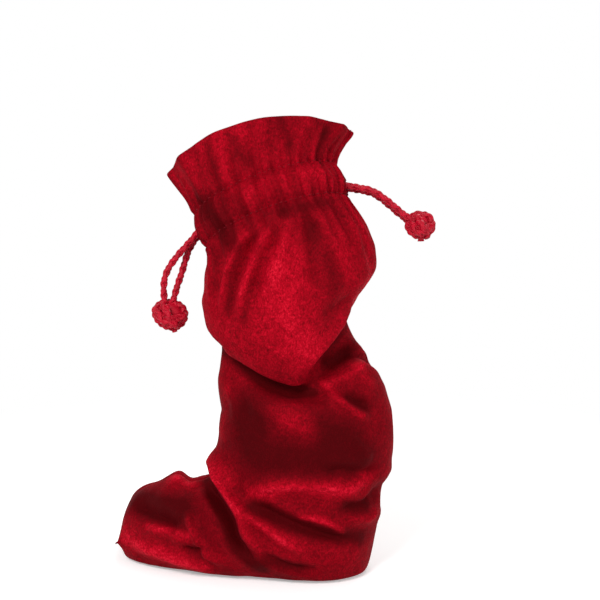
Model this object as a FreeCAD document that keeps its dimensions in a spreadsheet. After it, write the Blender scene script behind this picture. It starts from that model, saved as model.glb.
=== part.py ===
"""Velvet bottle sack with two drawcords: a FreeCAD document driven by one spreadsheet, in millimetres.

The sack stands open, filled out as it is round a gift. Two velvet panels meet at the side seams. The top
of each panel is turned down inside as a facing, and two rows of stitches make a casing between panel and
facing. Two drawcords run the whole way round in the casing: one leaves at the left seam and one at the
right, and the two ends of each are tied in a knot. The sack is longer than what it holds, so its top slumps
over in a fold, and its bottom end lies on the table as a flat tail to the left (-X). Z is up, -Y is the
front, and the origin is on the table under the standing part.
"""

import FreeCAD, Part
import math
import os

from FreeCAD import Placement, Rotation, Vector

# ---------------------------------------------------------------- driving dimensions, in mm and degrees

SIZES = {
    "cloth": 1.6,  # velvet
    "layer_gap": 0.3,  # between layers that only lie on each other
    # The standing part: height, sideways shift, half width and half depth of each level.
    "belly_height": 80.0, "belly_shift": 3.5, "belly_width": 56.5, "belly_depth": 42.0,
    "flank_height": 116.0, "flank_shift": 1.5, "flank_width": 53.5, "flank_depth": 40.0,
    # Below the belly the sack turns like a sock: its sections lean more and more to the left.
    "ankle_height": 54.0, "ankle_shift": -1.0, "ankle_width": 54.5, "ankle_depth": 41.0, "ankle_lean": -12.0,
    "heel_height": 27.0, "heel_shift": -10.0, "heel_width": 60.0, "heel_depth": 41.0, "heel_lean": -33.0,
    "instep_height": 24.0, "instep_shift": -50.0, "instep_width": 38.0, "instep_depth": 36.5,
    "instep_lean": -58.0, "instep_back": 4.0,
    # The tail of slack cloth lies on the table, so its sections stand upright and are set back.
    "toe_height": 18.0, "toe_shift": -92.0, "toe_width": 26.0, "toe_depth": 34.0, "toe_lean": -90.0,
    "toe_back": 19.0,
    "end_height": 7.0, "end_shift": -119.0, "end_width": 14.0, "end_depth": 25.0, "end_lean": -90.0,
    "end_back": 35.0,
    # The crease, where the top slumps over the standing part: its front hangs lower than its back. A drop is
    # how far a section lies below the middle of the casing.
    "crease_drop": 82.0, "crease_shift": -11.0, "crease_width": 41.5, "crease_depth": 33.0,
    "crease_lean": 7.0, "crease_nod": -24.0,
    "fold_drop": 75.0, "fold_shift": -12.5, "fold_width": 46.5, "fold_depth": 41.0,
    "fold_lean": 7.0, "fold_nod": -18.0,
    "lip_drop": 67.0, "lip_shift": -12.0, "lip_width": 48.5, "lip_depth": 43.0,
    "lip_lean": 7.0, "lip_nod": -11.0,
    "pouch_drop": 47.0, "pouch_shift": -8.0, "pouch_width": 53.0, "pouch_depth": 44.0,
    "pouch_lean": 8.0, "pouch_nod": 0.0,
    "shoulder_drop": 30.0, "shoulder_shift": -7.5, "shoulder_width": 53.0, "shoulder_depth": 41.0,
    "shoulder_lean": 14.0, "shoulder_nod": 9.0,
    # The casing leans, its right side higher, and nods, its front higher.
    "casing_height": 234.0, "casing_shift": -17.9, "casing_lean": 20.0, "casing_nod": 22.0,
    "casing_width": 49.0, "casing_depth": 36.5,
    "row_rise": 11.0,  # from the middle of the casing to each row of stitches
    "row_pinch": 2.0,  # how much narrower the sack is at the rows
    # The header, above the casing.
    "rim_rise": 38.0, "rim_width": 59.0, "rim_depth": 44.5, "rim_lean": -7.0, "rim_nod": 4.0,
    # Drawcords and the casing's tunnel for them, one above the other.
    "cord": 4.2, "cord_gap": 0.6, "tunnel": 7.0, "run_end_radius": 26.0, "exit_radius": 8.5,
    "exit_spacing": 4.7, "left_exit_dip": 32.0, "right_exit_dip": 30.0,
    "slot_wide": 14.5, "slot_high": 8.6,
    # Knots.
    "left_knot_wide": 22.0, "left_knot_high": 16.5, "right_knot_wide": 18.5, "right_knot_high": 19.0,
    "knot_deep": 17.0, "tip_length": 4.5, "socket_gap": 0.25,
    # Seams.
    "thread": 0.8, "tack_length": 8.0,
}

doc = FreeCAD.newDocument("gift_sack")
sheet = doc.addObject("Spreadsheet::Sheet", "sizes")
for row, (name, value) in enumerate(SIZES.items(), start=1):
    sheet.set(f"A{row}", name)
    sheet.set(f"B{row}", str(value))
    sheet.setAlias(f"B{row}", name)
doc.recompute()


def size(name):
    """A driving dimension, read back from the sheet."""
    return float(getattr(sheet, name))


def cells(text):
    """An expression in which each driving dimension's name stands for its cell."""
    words = []
    word = ""
    for letter in text + " ":
        if letter.isalnum() or letter in "_.":
            word += letter
            continue
        words.append(f"sizes.{word}" if word in SIZES else word)
        words.append(letter)
        word = ""
    return "".join(words).strip()


def made(kind, label, **bindings):
    """A document object; each keyword names a property, bound to an expression of driving dimensions."""
    item = doc.addObject(kind, label)
    for name, text in bindings.items():
        item.setExpression(name, cells(text))
    return item


def place(x="0", y="0", z="0", turn="rotation(vector(0; 0; 1); 0)"):
    """The expression of a placement."""
    return f"placement(vector({x}; {y}; {z}); {turn})"


def about(axis, angle):
    """The expression of a turn about an axis."""
    return f"rotation(vector({axis}); {angle})"


def tilted(lean, nod):
    """The expression of a turn that lifts the right side by lean and the front by nod."""
    return f"{about('0; 1; 0', f'-({lean})')} * {about('1; 0; 0', f'-({nod})')}"


def cut(label, base, tool):
    item = doc.addObject("Part::Cut", label)
    item.Base = base
    item.Tool = tool
    return item


def common(label, first, second):
    item = doc.addObject("Part::Common", label)
    item.Base = first
    item.Tool = second
    return item


def fused(label, shapes):
    item = doc.addObject("Part::MultiFuse", label)
    item.Shapes = shapes
    return item


def solid_feature(label, shape):
    """A Part::Feature, for forms that no parametric object makes."""
    item = doc.addObject("Part::Feature", label)
    item.Shape = shape
    return item


# ---------------------------------------------------------------- the form of the filled sack

CASING = place("casing_shift", "0", "casing_height", tilted("casing_lean", "casing_nod"))
ALONG = about("1; 1; 1", "120")  # turns a flat outline so that it faces along X, its width along Y
TOP = 400.0  # helper solids reach this far past the sack


def leaned(lean, nod=0.0):
    """A turn that lifts the right side by lean and the front by nod."""
    return Rotation(Vector(0, 1, 0), -lean) * Rotation(Vector(1, 0, 0), -nod)


def casing_frame():
    """The casing's own frame: X to the right seam, Y to the back, Z along the neck."""
    turn = leaned(size("casing_lean"), size("casing_nod"))
    return Placement(Vector(size("casing_shift"), 0, size("casing_height")), turn)


def along_neck(rise, turn=Rotation()):
    """A place on the casing's axis."""
    return casing_frame() * Placement(Vector(0, 0, rise), turn)


def standing(name):
    """The middle of a section of the standing part, by the sizes that carry its name."""
    lean = size(f"{name}_lean") if f"{name}_lean" in SIZES else 0.0
    nod = size(f"{name}_nod") if f"{name}_nod" in SIZES else 0.0
    back = size(f"{name}_back") if f"{name}_back" in SIZES else 0.0
    drop = f"{name}_drop"
    height = size("casing_height") - size(drop) if drop in SIZES else size(f"{name}_height")
    return Placement(Vector(size(f"{name}_shift"), back, height), leaned(lean, nod))


# Each section is an ellipse: its half width, half depth and place. The cloth runs up the sack from the first
# to the last.
ROW = (size("casing_width") - size("row_pinch"), size("casing_depth") - size("row_pinch"))
RIM_TURN = leaned(size("rim_lean"), size("rim_nod"))
SECTIONS = {
    name: (size(f"{name}_width"), size(f"{name}_depth"), standing(name))
    for name in (
        "end", "toe", "instep", "heel", "ankle", "belly",
        "flank", "crease", "fold", "lip", "pouch", "shoulder",
    )
}
SECTIONS["lower_row"] = (*ROW, along_neck(-size("row_rise")))
SECTIONS["casing"] = (size("casing_width"), size("casing_depth"), along_neck(0))
SECTIONS["upper_row"] = (*ROW, along_neck(size("row_rise")))
SECTIONS["rim"] = (size("rim_width"), size("rim_depth"), along_neck(size("rim_rise"), RIM_TURN))

TAIL = ("end", "toe")
FOOT = ("toe", "instep", "heel", "ankle")
BODY = ("ankle", "belly", "flank", "crease")
SLUMP = ("crease", "fold", "lip", "pouch", "shoulder", "lower_row")
NECK = ("lower_row", "casing", "upper_row")
HEADER = ("upper_row", "rim")
UP_THE_SACK = TAIL + FOOT[1:] + BODY[1:] + SLUMP[1:]
BRAID_STRANDS = 8
STRAND_SIDES = 6
STRAND_STEPS = 12
# The turns of cord in a knot: an axis and an angle that tilt each, and its share of the knot's width and
# height.
KNOT_TURNS = [
    ((1, 0, 0), 84, (1.0, 1.0)),
    ((1, 0, 0), 12, (0.96, 0.94)),
    ((0, 1, 0), 68, (0.8, 0.98)),
    ((1, 1, 0), 42, (0.92, 0.96)),
    ((1, -1, 0), 48, (0.92, 0.96)),
]
FRONT = (180.0, 360.0)
BACK = (0.0, 180.0)
ALL_ROUND = (0.0, 360.0)
ARC_SIDES = 12


def arc_of(name, span, inset, sides=ARC_SIDES):
    """The corners of a section between two angles, counted from the right seam round by the back."""
    half_wide, half_deep, at = SECTIONS[name]
    first, last = (math.radians(angle) for angle in span)
    corners = []
    for step in range(sides + 1):
        angle = first + (last - first) * step / sides
        corner = Vector((half_wide - inset) * math.cos(angle), (half_deep - inset) * math.sin(angle), 0)
        corners.append(at.multVec(corner))
    return corners


def closed(corners):
    """The outline through the corners and back to the first."""
    return Part.makePolygon(corners + corners[:1])


def skinned(outlines, endless=False):
    """A solid through flat outlines with as many corners each, skinned with flat triangles.

    Each patch between two outlines is split along its shorter diagonal, so layers that lie together match.
    An endless one runs on from its last outline into its first; any other is shut by its first and last.
    """
    faces = [] if endless else [Part.Face(closed(outlines[0])), Part.Face(closed(outlines[-1]))]
    followers = outlines[1:] + (outlines[:1] if endless else [])
    for here, there in zip(outlines, followers):
        for count in range(len(here)):
            beside = (count + 1) % len(here)
            patch = [here[count], here[beside], there[beside], there[count]]
            if (patch[2] - patch[0]).Length > (patch[3] - patch[1]).Length:
                patch = patch[1:] + patch[:1]
            faces += [Part.Face(closed(patch[:3])), Part.Face(closed(patch[2:] + patch[:1]))]
    shell = Part.makeShell(faces)
    shell.sewShape()
    return Part.makeSolid(shell)


def layer(names, span, outer, inner):
    """A layer of cloth over part of the way round, whose faces lie outer and inner from the outside.

    outer and inner are each a value, or a function of the section's name.
    """
    outlines = []
    for name in names:
        outside = arc_of(name, span, outer(name) if callable(outer) else outer)
        inside = arc_of(name, span, inner(name) if callable(inner) else inner)
        outlines.append(outside + inside[::-1])
    return skinned(outlines)


def filling(names, span, inset):
    """The solid form of half the sack over a stretch, as deep as inset from the outside."""
    return skinned([arc_of(name, span, inset) for name in names])


def slab(label, bottom, top):
    """All that lies between two heights."""
    item = made("Part::Box", label, Placement=place(f"-{TOP}", f"-{TOP}", bottom))
    item.setExpression("Height", cells(f"{top} - ({bottom})"))
    item.Length = 2 * TOP
    item.Width = 2 * TOP
    return item


# ---------------------------------------------------------------- drawcords


def cord_level(side):
    """The left cord runs above the right one: its height in the casing's frame."""
    return -side * (size("cord") + size("cord_gap")) / 2


def turned(point, heading, goal, radius):
    """The middle and the end of an arc that turns from one heading to another, and its length."""
    axis = heading.cross(goal).normalize()
    angle = heading.getAngle(goal)
    centre = point + axis.cross(heading) * radius
    middle = centre + Rotation(axis, math.degrees(angle / 2)).multVec(point - centre)
    end = centre + Rotation(axis, math.degrees(angle)).multVec(point - centre)
    return middle, end, radius * angle


def exit_heading(side):
    """The way a cord leaves the casing, in the casing's frame; side is -1 for left and 1 for right."""
    dip = math.radians(size("left_exit_dip" if side < 0 else "right_exit_dip"))
    return Vector(side * math.cos(dip), 0, -math.sin(dip))


def run_half(side, hand):
    """Half of a cord's way round the casing, from the far end to the exit, in the casing's frame.

    hand is -1 for the half in the front panel and 1 for the one at the back. The way is an oval of four arcs,
    and a last arc turns the cord out through the gap in the seam. Returns the arcs and the exit point.
    """
    inset = size("cloth") + size("tunnel") / 2
    half_long = size("casing_width") - inset
    half_wide = size("casing_depth") - inset
    small = size("run_end_radius")
    offset = half_long - small
    large = (offset**2 + half_wide**2 - small**2) / (2 * (half_wide - small))
    high = cord_level(side)
    small_centre = Vector(side * offset, 0, high)
    far_centre = Vector(-side * offset, 0, high)
    large_centre = Vector(0, -hand * (large - half_wide), high)
    reach = (small_centre - large_centre).normalize()
    meet = small_centre + reach * small
    far_meet = far_centre + (far_centre - large_centre).normalize() * small
    far = Vector(-side * half_long, 0, high)
    far_middle = far_centre + ((far - far_centre) + (far_meet - far_centre)).normalize() * small
    arcs = [(far, far_middle, far_meet), (far_meet, Vector(0, hand * half_wide, high), meet)]
    # Where the oval is left, found so that the exit lies half a spacing from the seam.
    turn_out = size("exit_radius")
    goal = exit_heading(side)
    low, up = 0.0, math.radians(80)
    for _ in range(60):
        angle = (low + up) / 2
        spoke = Vector(side * math.cos(angle), hand * math.sin(angle), 0)
        leave = small_centre + spoke * small
        heading = Vector(side * math.sin(angle), -hand * math.cos(angle), 0)
        middle, end, _ = turned(leave, heading, goal, turn_out)
        if hand * end.y > size("exit_spacing") / 2:
            up = angle
        else:
            low = angle
    rounded = small_centre + ((meet - small_centre).normalize() + spoke).normalize() * small
    arcs += [(meet, rounded, leave), (leave, middle, end)]
    return arcs, end


def corners_at(at, radius, sides):
    """The corners of a regular outline in the plane of a placement."""
    angles = [2 * math.pi * (count + 0.5) / sides for count in range(sides)]
    return [at.multVec(Vector(math.cos(angle), math.sin(angle), 0) * radius) for angle in angles]


def outline_of_cord(start, heading, radius):
    """The cord's section: an eight-strand braid, drawn as an octagon as large as the round cord."""
    half_side = math.pi / BRAID_STRANDS
    corner = radius * math.sqrt(half_side / (math.sin(half_side) * math.cos(half_side)))
    return closed(corners_at(Placement(start, Rotation(Vector(0, 0, 1), heading)), corner, BRAID_STRANDS))


def tube(edges, start, heading, radius):
    """A cord along a wire of tangent edges."""
    return Part.Wire(edges).makePipeShell([outline_of_cord(start, heading, radius)], True, False)


def drawcord_run(side):
    """A cord's way round the casing, with both exits."""
    frame = casing_frame()
    front, front_exit = run_half(side, -1)
    back, back_exit = run_half(side, 1)
    arcs = [tuple(reversed(arc)) for arc in reversed(front)] + back
    edges = [Part.Arc(*(frame.multVec(point) for point in arc)).toShape() for arc in arcs]
    inward = frame.Rotation.multVec(exit_heading(side) * -1)
    return tube(edges, frame.multVec(front_exit), inward, size("cord") / 2)


# The free ends, from the casing to the knot. The first point of each is its exit and the second lies straight
# out of it, first_run away; the rest are chosen points.
LEGS = {
    "left_front_leg": {
        "side": -1, "hand": -1, "first_run": 7.0,
        "points": [(-77.0, -4.5, 203.5), (-84.0, -4.2, 193.5), (-86.0, -3.5, 182.5), (-84.9, -2.6, 173.0)],
    },
    "left_back_leg": {
        "side": -1, "hand": 1, "first_run": 6.0,
        "points": [(-71.3, 0.6, 203.2), (-74.2, 0.4, 193.0), (-78.0, -0.2, 182.5), (-80.2, -0.6, 174.0)],
    },
    "right_front_leg": {
        "side": 1, "hand": -1, "first_run": 8.0,
        "points": [(46.0, -6.2, 244.2), (56.0, -6.0, 236.8), (62.5, -5.4, 230.9), (68.3, -4.9, 226.9)],
    },
    "right_back_leg": {
        "side": 1, "hand": 1, "first_run": 8.0,
        "points": [(46.8, -1.6, 242.2), (56.4, -1.4, 234.6), (62.9, -0.9, 228.7), (68.6, -0.4, 224.8)],
    },
}


def leg_route(leg):
    """The points of a free end, from its exit to its knot."""
    frame = casing_frame()
    _, end = run_half(leg["side"], leg["hand"])
    start = frame.multVec(end)
    out = frame.Rotation.multVec(exit_heading(leg["side"]))
    return [start, start + out * leg["first_run"]] + [Vector(*point) for point in leg["points"]]


def cord_tube(label, points, radius):
    """A tube of straight runs joined by tangent arcs, each as large as its two runs allow."""
    edges = []
    start = points[0]
    length = 0.0
    for before, corner, after in zip(points, points[1:], points[2:]):
        into = (corner - before).normalize()
        out_of = (after - corner).normalize()
        shorter = min((corner - before).Length, (after - corner).Length)
        half_turn = into.getAngle(out_of) / 2
        arc_radius = 0.45 * shorter / math.tan(half_turn)
        arc_start = corner - into * 0.45 * shorter
        arc_middle, arc_end, arc_length = turned(arc_start, into, out_of, arc_radius)
        edges.append(Part.LineSegment(start, arc_start).toShape())
        edges.append(Part.Arc(arc_start, arc_middle, arc_end).toShape())
        length += (arc_start - start).Length + arc_length
        start = arc_end
        print(f"{label}: radius {arc_radius:.1f} mm, {arc_radius / (2 * radius):.1f} diameters")
    edges.append(Part.LineSegment(start, points[-1]).toShape())
    length += (points[-1] - start).Length
    shape = tube(edges, points[0], points[1] - points[0], radius)
    expected = math.pi * radius**2 * length
    print(f"{label}: length {length:.1f} mm, volume {shape.Volume:.1f} of {expected:.1f} mm3")
    return solid_feature(label, shape)


legs = {label: cord_tube(label, leg_route(leg), size("cord") / 2) for label, leg in LEGS.items()}


# ---------------------------------------------------------------- panels, facings and seams


def slot(side):
    """The gap in a side seam that a cord's two ends leave through."""
    name = "left" if side < 0 else "right"
    _, end = run_half(side, 1)
    middle = (cord_level(side) + end.z) / 2
    outline = made(
        "Part::Ellipse",
        f"{name}_gap_outline",
        MajorRadius="slot_wide / 2",
        MinorRadius="slot_high / 2",
        Placement=f"{CASING} * {place(str(side * 0.5) + ' * casing_width', '0', str(middle), ALONG)}",
    )
    item = made("Part::Extrusion", f"{name}_seam_gap", LengthFwd="casing_width")
    item.Base = outline
    item.DirMode = "Normal"
    item.Solid = True
    item.Reversed = side < 0
    return item


ABOVE_TABLE = slab("above_table", "0", f"{TOP}")
SOLE = slab("sole_level", "0", "cloth")
gaps = fused("seam_gaps", [slot(-1), slot(1)])


def panel(label, span):
    """Half of the sack's velvet: one cloth from the rim to the end of the tail, with a flat sole."""
    cloth = size("cloth")
    stretches = [
        solid_feature(f"{label}_{names[0]}", layer(names, span, 0.0, cloth))
        for names in (TAIL, FOOT, BODY, SLUMP, NECK, HEADER)
    ]
    wall = common(f"{label}_wall", fused(f"{label}_stretches", stretches), ABOVE_TABLE)
    under = [
        solid_feature(f"{label}_under_{names[0]}", filling(names, span, cloth / 2)) for names in (TAIL, FOOT)
    ]
    sole = common(f"{label}_sole", fused(f"{label}_under", under), SOLE)
    return cut(label, fused(f"{label}_whole", [wall, sole]), gaps)


front_panel = panel("front_panel", FRONT)
back_panel = panel("back_panel", BACK)


def facing_outside(name):
    """A facing lies against its panel, and leaves the cords their tunnel at the casing."""
    return size("cloth") + size("tunnel" if name == "casing" else "layer_gap")


def facing(label, span):
    """The top of a panel turned down inside, to the lower row of stitches."""
    shapes = [
        solid_feature(
            f"{label}_{names[0]}",
            layer(names, span, facing_outside, lambda name: facing_outside(name) + size("cloth")),
        )
        for names in (NECK, HEADER)
    ]
    return fused(label, shapes)


front_facing = facing("front_facing", FRONT)
back_facing = facing("back_facing", BACK)


def seam_allowances(label, middle, names):
    """Both allowances of a side seam, pressed open inside; middle is the seam's angle."""
    reach = 180.0 / ARC_SIDES
    outer = size("cloth") + size("layer_gap")
    outlines = []
    for name in names:
        outside, inside = (
            arc_of(name, (middle - reach, middle + reach), inset, 2) for inset in (outer, outer + size("cloth"))
        )
        outlines.append(outside + inside[::-1])
    return solid_feature(label, skinned(outlines))


def beyond(label, x, z):
    """A helper block: all that lies to the left of x and above z."""
    item = made("Part::Box", label, Placement=place(f"({x}) - {2 * TOP}", f"-{TOP}", z))
    item.Length = 2 * TOP
    item.Width = 2 * TOP
    item.Height = TOP
    return item


left_side_seam = cut(
    "left_side_seam",
    seam_allowances("left_allowances", 180.0, UP_THE_SACK),
    beyond("end_seam_room", "end_shift + 2 * cloth + layer_gap", "-1"),
)
right_side_seam = common(
    "right_side_seam",
    seam_allowances("right_allowances", 0.0, UP_THE_SACK[UP_THE_SACK.index("heel"):]),
    slab("allowance_level", "2 * cloth + layer_gap", f"{TOP}"),
)


def sewn_end():
    """The bottom seam, which shuts the end of the tail: both panels' allowances, turned in."""
    outline = made(
        "Part::Ellipse",
        "bottom_seam_outline",
        MajorRadius="end_depth - cloth - 3 * layer_gap",
        MinorRadius="end_width - cloth - 3 * layer_gap",
        Placement=place("end_shift", "end_back", "end_height", ALONG),
    )
    plate = made("Part::Extrusion", "bottom_seam_plate", LengthFwd="2 * cloth")
    plate.Base = outline
    plate.DirMode = "Normal"
    plate.Solid = True
    return common("bottom_seam", plate, slab("bottom_seam_level", "cloth + layer_gap", f"{TOP}"))


bottom_seam = sewn_end()


def stitch_row(label, name, side):
    """A row of stitches round the sack: thread on the velvet, on the casing's side of its line."""
    near = -size("layer_gap")
    inner = arc_of(name, ALL_ROUND, near, 2 * ARC_SIDES)[:-1]
    outer = arc_of(name, ALL_ROUND, near - size("thread"), 2 * ARC_SIDES)[:-1]
    along = casing_frame().Rotation.multVec(Vector(0, 0, -side * size("thread")))
    outlines = [[one, other, other + along, one + along] for one, other in zip(inner, outer)]
    return solid_feature(label, skinned(outlines, endless=True))


lower_stitch_row = stitch_row("lower_stitch_row", "lower_row", -1)
upper_stitch_row = stitch_row("upper_stitch_row", "upper_row", 1)


def exit_tacks(side):
    """Bar tacks across the seam at the top and bottom of a cord's gap."""
    name = "left" if side < 0 else "right"
    _, end = run_half(side, 1)
    middle = (cord_level(side) + end.z) / 2
    bars = []
    for place_name, up in (("low", -1), ("high", 1)):
        lift = f"({middle} + {up} * (slot_high / 2 + thread))"
        out = f"{side} * (casing_width - row_pinch * abs({lift}) / row_rise + thread * 1.2)"
        bars.append(
            made(
                "Part::Cylinder",
                f"{name}_{place_name}_tack",
                Radius="thread",
                Height="tack_length",
                Placement=f"{CASING} * {place(out, '-tack_length / 2', lift, about('1; 0; 0', '-90'))}",
            )
        )
    return fused(f"{name}_exit_tacks", bars)


left_exit_tacks = exit_tacks(-1)
right_exit_tacks = exit_tacks(1)

left_drawcord_run = solid_feature("left_drawcord_run", drawcord_run(-1))
right_drawcord_run = solid_feature("right_drawcord_run", drawcord_run(1))


# ---------------------------------------------------------------- knots


def strand(at, wide, high):
    """One turn of cord in a knot: an oval ring, wide by high outside, in the plane of a placement."""
    thick = size("cord") / 2
    outlines = []
    for count in range(STRAND_STEPS):
        angle = 2 * math.pi * count / STRAND_STEPS
        middle = Vector((wide / 2 - thick) * math.cos(angle), (high / 2 - thick) * math.sin(angle), 0)
        across = Rotation(Vector(0, 0, 1), math.degrees(angle)) * Rotation(Vector(1, 0, 0), 90)
        outlines.append(corners_at(at * Placement(middle, across), thick, STRAND_SIDES))
    return skinned(outlines, endless=True)


def core(at, wide, high, deep):
    """The packed middle of a knot."""
    outlines = []
    for share, spread in ((-0.5, 0.45), (-0.28, 0.9), (0.28, 0.9), (0.5, 0.45)):
        corners = corners_at(Placement(), spread / 2, STRAND_SIDES)
        outlines.append([at.multVec(Vector(c.x * wide, c.y * deep, share * high)) for c in corners])
    return skinned(outlines)


def knot(side, middle, tips):
    """Two cord ends tied in a ball of crossing strands, with a socket for each end and two short tips."""
    name = "left" if side < 0 else "right"
    wide, high, deep = size(f"{name}_knot_wide"), size(f"{name}_knot_high"), size("knot_deep")
    thick = size("cord") / 2
    at = Placement(Vector(*middle), Rotation())
    shapes = [core(at, wide - 2 * thick, high - 2 * thick, deep - 2 * thick)]
    for axis, angle, shares in KNOT_TURNS:
        turn = Placement(Vector(), Rotation(Vector(*axis), angle))
        shapes.append(strand(at * turn, wide * shares[0], min(high, deep) * shares[1]))
    for axis, angle in tips:
        turn = Placement(Vector(), Rotation(Vector(*axis), angle))
        reach = min(high, deep) / 2 - thick
        ends = (0.0, reach + size("tip_length") - thick / 2, reach + size("tip_length"))
        outlines = [
            corners_at(at * turn * Placement(Vector(0, 0, end), Rotation()), thick * spread, STRAND_SIDES)
            for end, spread in zip(ends, (1.0, 1.0, 0.7))
        ]
        shapes.append(skinned(outlines))
    tied = shapes[0].multiFuse(shapes[1:])
    for leg in LEGS.values():
        if leg["side"] != side:
            continue
        route = leg_route(leg)
        heading = (route[-1] - route[-2]).normalize()
        bore = Part.makeCylinder(
            thick + size("socket_gap"), TOP / 40 + size("socket_gap"), route[-1] - heading * TOP / 40, heading
        )
        tied = tied.cut(bore)
    return solid_feature(f"{name}_knot", tied)


left_knot = knot(-1, (-82.3, -1.7, 166.2), [((0, 1, 0), -62), ((1, 1, 0), 160)])
right_knot = knot(1, (74.8, -2.8, 222.4), [((0, 1, 0), 172), ((1, 1, 0), 140)])


# ---------------------------------------------------------------- checks and files

PIECES = [
    front_panel, back_panel, front_facing, back_facing, left_side_seam, right_side_seam, bottom_seam,
    upper_stitch_row, lower_stitch_row, left_exit_tacks, right_exit_tacks,
    left_drawcord_run, right_drawcord_run, *legs.values(), left_knot, right_knot,
]

doc.recompute()
for item in doc.Objects:
    if "Invalid" in item.State or "Error" in item.State:
        raise RuntimeError(f"{item.Label} failed: {item.State}")
for piece in PIECES:
    if piece.Shape.isNull() or not piece.Shape.isValid() or not piece.Shape.Solids:
        raise RuntimeError(f"{piece.Label} has no valid solid")

os.makedirs("parts", exist_ok=True)
for piece in PIECES:
    piece.Shape.exportStep(f"parts/{piece.Label}.step")
    print(f"{piece.Label}: {len(piece.Shape.Solids)} solids, {piece.Shape.Volume:.0f} mm3")
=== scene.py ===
"""The looks of the velvet drawstring sack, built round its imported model.

Lengths are in millimetres until a mesh is made, and MM turns them into metres. The cloth is one
ring of velvet. It runs through nearly the same sections as the CAD panels, from the end of the
tail up to the rim, over it and down inside to the lower row of stitches. Formulas move its points
out or in for the gathers, the folds and the slack. The ring is then cut at the side seams into a
front and a back sheet.
"""

import math

import bpy
import numpy as np
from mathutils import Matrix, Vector


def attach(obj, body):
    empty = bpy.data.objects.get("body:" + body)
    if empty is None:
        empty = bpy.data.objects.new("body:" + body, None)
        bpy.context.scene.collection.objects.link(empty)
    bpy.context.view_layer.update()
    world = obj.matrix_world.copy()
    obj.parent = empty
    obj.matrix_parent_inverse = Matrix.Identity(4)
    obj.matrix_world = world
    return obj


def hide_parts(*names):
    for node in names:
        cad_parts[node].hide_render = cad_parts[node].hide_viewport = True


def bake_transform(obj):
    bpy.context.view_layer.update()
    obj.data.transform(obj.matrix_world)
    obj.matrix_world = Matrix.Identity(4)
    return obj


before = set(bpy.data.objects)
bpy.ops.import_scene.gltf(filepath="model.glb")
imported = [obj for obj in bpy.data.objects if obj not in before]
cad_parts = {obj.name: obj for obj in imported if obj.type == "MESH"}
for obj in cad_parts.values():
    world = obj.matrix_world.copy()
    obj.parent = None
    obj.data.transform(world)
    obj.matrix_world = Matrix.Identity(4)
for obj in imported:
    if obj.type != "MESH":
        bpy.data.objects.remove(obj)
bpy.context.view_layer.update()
MM = 0.001

# ---------------- helpers


def unit(vectors):
    """The same vectors with a length of 1."""
    return vectors / np.maximum(np.linalg.norm(vectors, axis=-1, keepdims=True), 1e-9)


def bell(value):
    return np.exp(-(value**2))


def smooth(low, high, value):
    """From 0 at the low value to 1 at the high one, without a corner."""
    t = np.clip((value - low) / (high - low), 0, 1)
    return t * t * (3 - 2 * t)


def into_scene(name, data):
    piece = bpy.data.objects.new(name, data)
    bpy.context.scene.collection.objects.link(piece)
    return piece


def evaluated_mesh(piece):
    """The piece's mesh with its modifiers, or its curve, worked out."""
    graph = bpy.context.evaluated_depsgraph_get()
    return bpy.data.meshes.new_from_object(piece.evaluated_get(graph))


def maths(tree, operation, a, b):
    node = tree.nodes.new("ShaderNodeMath")
    node.operation = operation
    for socket, value in zip(node.inputs, (a, b)):
        if isinstance(value, (int, float)):
            socket.default_value = value
        else:
            tree.links.new(value, socket)
    return node.outputs["Value"]


def mixed(tree, share, first, second):
    mix = tree.nodes.new("ShaderNodeMixShader")
    for socket, value in zip(mix.inputs, (share, first, second)):
        tree.links.new(value, socket)
    return mix.outputs["Shader"]


def put(node, values):
    """Sets a node's inputs by name."""
    for name, value in values.items():
        node.inputs[name].default_value = value


def white_ways(tree):
    """1 for a ray from the camera, or one that a shiny surface sends on; 0 for light."""
    path = tree.nodes.new("ShaderNodeLightPath")
    total = path.outputs["Is Camera Ray"]
    for way in ("Is Glossy Ray", "Is Transmission Ray"):
        total = maths(tree, "MAXIMUM", total, path.outputs[way])
    return total


# ---------------- camera, floor and light

EYE = (0.0, -0.7, 0.275)  # metres
EYE_PITCH = 8.1  # degrees down
FOCAL = 67.2  # mm on a 36 mm sensor
WORLD_LIGHT = 0.38
LIT_AT = (0.0, 0.0, 0.15)  # where the lamps point, in metres
LAMPS = [  # name, place and width in metres, watts
    ("key_light", (-0.5, -0.95, 0.95), 0.4, 12),
    ("fill_light", (0.9, -0.8, 0.5), 0.6, 4.5),
    ("back_light", (0.3, 0.9, 1.0), 0.8, 7),
]
FLOOR_REACH = 6.0  # metres
FLOOR_DROP = 0.0004  # metres under the sack, so that the two don't share a plane
FLOOR_COLOUR = (0.93, 0.93, 0.93, 1)
FLOOR_GLOW = 0.34  # what the floor adds to its own white where it is seen
FLOOR_WHITE_FROM, FLOOR_WHITE_TO = 0.24, 0.52  # metres out, where the floor turns white


def make_camera():
    data = bpy.data.cameras.new("camera")
    data.lens = FOCAL
    camera = into_scene("camera", data)
    camera.location = EYE
    camera.rotation_euler = (math.radians(90 - EYE_PITCH), 0, 0)
    bpy.context.scene.camera = camera


def make_lamp(name, place, wide, power):
    data = bpy.data.lights.new(name, "AREA")
    data.size = wide
    data.energy = power
    lamp = into_scene(name, data)
    lamp.location = place
    lamp.rotation_euler = (Vector(LIT_AT) - Vector(place)).to_track_quat("-Z", "Y").to_euler()


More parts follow.
